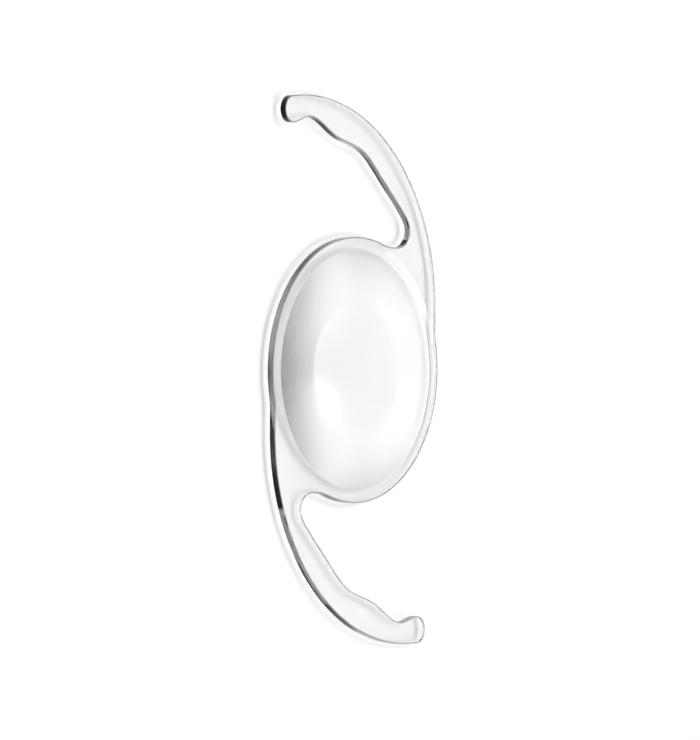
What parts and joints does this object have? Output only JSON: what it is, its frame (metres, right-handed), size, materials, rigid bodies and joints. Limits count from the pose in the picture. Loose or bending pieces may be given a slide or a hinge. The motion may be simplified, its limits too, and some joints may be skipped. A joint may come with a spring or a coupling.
{
  "type": "intraocular lens",
  "caption": "Clear one-piece intraocular lens: an optic with a square edge, domed in front and flatter behind, carried by flat open loops that press outward to hold it centred in the eye's lens capsule.",
  "frame": {"origin": "on the optic axis, in the flat centre of the back surface, on which the lens lies", "axes": "+Z along the optic axis towards the front of the lens, +Y along the length of the loops, +X across the optic"},
  "size_m": [0.006, 0.0124, 0.0006],
  "materials": {
    "clear_acrylic": "clear, polished all over"
  },
  "bodies": {
    "root": {"lens": "clear_acrylic"}
  },
  "joints": []
}
